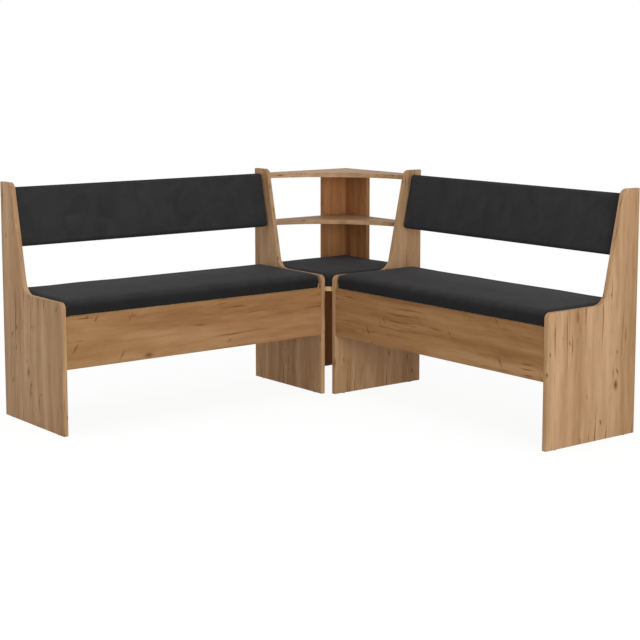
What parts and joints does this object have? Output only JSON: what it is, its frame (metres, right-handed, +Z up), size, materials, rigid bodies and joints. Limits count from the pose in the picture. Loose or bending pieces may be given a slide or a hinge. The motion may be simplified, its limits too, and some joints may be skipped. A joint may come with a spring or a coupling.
{
  "type": "corner bench",
  "caption": "Corner bench of oak-decor boards with upholstered lift-up seats over storage chests, sloped padded backrests and a corner unit with hollow-fronted shelves.",
  "frame": {"origin": "centre of the square plan, on the floor", "axes": "+Z up; the wall corner is at +X +Y; the left wing runs along X at the +Y wall, the right wing along Y at the +X wall"},
  "size_m": [1.5, 1.5, 0.804],
  "materials": {
    "oak_decor_board": "satin oak-decor melamine",
    "raw_chipboard": "raw chipboard",
    "hardboard": "smooth hardboard",
    "spruce_batten": "planed softwood",
    "anthracite_cloth": "brushed microfibre upholstery cloth",
    "hinge_steel": "zinc-plated",
    "zinc_fitting": "die-cast zinc",
    "nylon_glide": "moulded"
  },
  "bodies": {
    "frame": {"left_outer_end_panel": "oak_decor_board", "left_inner_end_panel": "oak_decor_board", "left_apron": "oak_decor_board", "left_chest_back": "oak_decor_board", "left_floor_bearers": "spruce_batten", "left_chest_floor": "hardboard", "left_cam_locks": "zinc_fitting", "left_cam_bolts": "zinc_fitting", "left_glides": "nylon_glide", "left_hinge_fixed_leaves": "hinge_steel", "left_hinge_pins": "hinge_steel", "left_hinge_chest_screws": "hinge_steel", "left_backrest_board": "raw_chipboard", "left_backrest_pad": "anthracite_cloth", "left_backrest_brackets": "hinge_steel", "left_corner_cleat": "spruce_batten", "right_outer_end_panel": "oak_decor_board", "right_inner_end_panel": "oak_decor_board", "right_apron": "oak_decor_board", "right_chest_back": "oak_decor_board", "right_floor_bearers": "spruce_batten", "right_chest_floor": "hardboard", "right_cam_locks": "zinc_fitting", "right_cam_bolts": "zinc_fitting", "right_glides": "nylon_glide", "right_hinge_fixed_leaves": "hinge_steel", "right_hinge_pins": "hinge_steel", "right_hinge_chest_screws": "hinge_steel", "right_backrest_board": "raw_chipboard", "right_backrest_pad": "anthracite_cloth", "right_backrest_brackets": "hinge_steel", "right_corner_cleat": "spruce_batten", "post_left_board": "oak_decor_board", "post_right_board": "oak_decor_board", "post_glides": "nylon_glide", "corner_top_shelf": "oak_decor_board", "corner_middle_shelf": "oak_decor_board", "shelf_cam_locks": "zinc_fitting", "shelf_cam_bolts": "zinc_fitting", "corner_seat_board": "oak_decor_board", "corner_cushion": "anthracite_cloth", "post_brackets": "hinge_steel"},
    "left_lid": {"left_seat_board": "raw_chipboard", "left_seat_cushion": "anthracite_cloth", "left_hinge_lid_leaves": "hinge_steel", "left_hinge_lid_screws": "hinge_steel"},
    "right_lid": {"right_seat_board": "raw_chipboard", "right_seat_cushion": "anthracite_cloth", "right_hinge_lid_leaves": "hinge_steel", "right_hinge_lid_screws": "hinge_steel"}
  },
  "joints": [
    {"name": "left_seat", "type": "hinge", "parent": "frame", "child": "left_lid", "pos_m": [-0.215, 0.7134, 0.392], "axis": [-1, 0, 0], "range_deg": [0, 55]},
    {"name": "right_seat", "type": "hinge", "parent": "frame", "child": "right_lid", "pos_m": [0.7134, -0.215, 0.392], "axis": [0, 1, 0], "range_deg": [0, 55]}
  ]
}
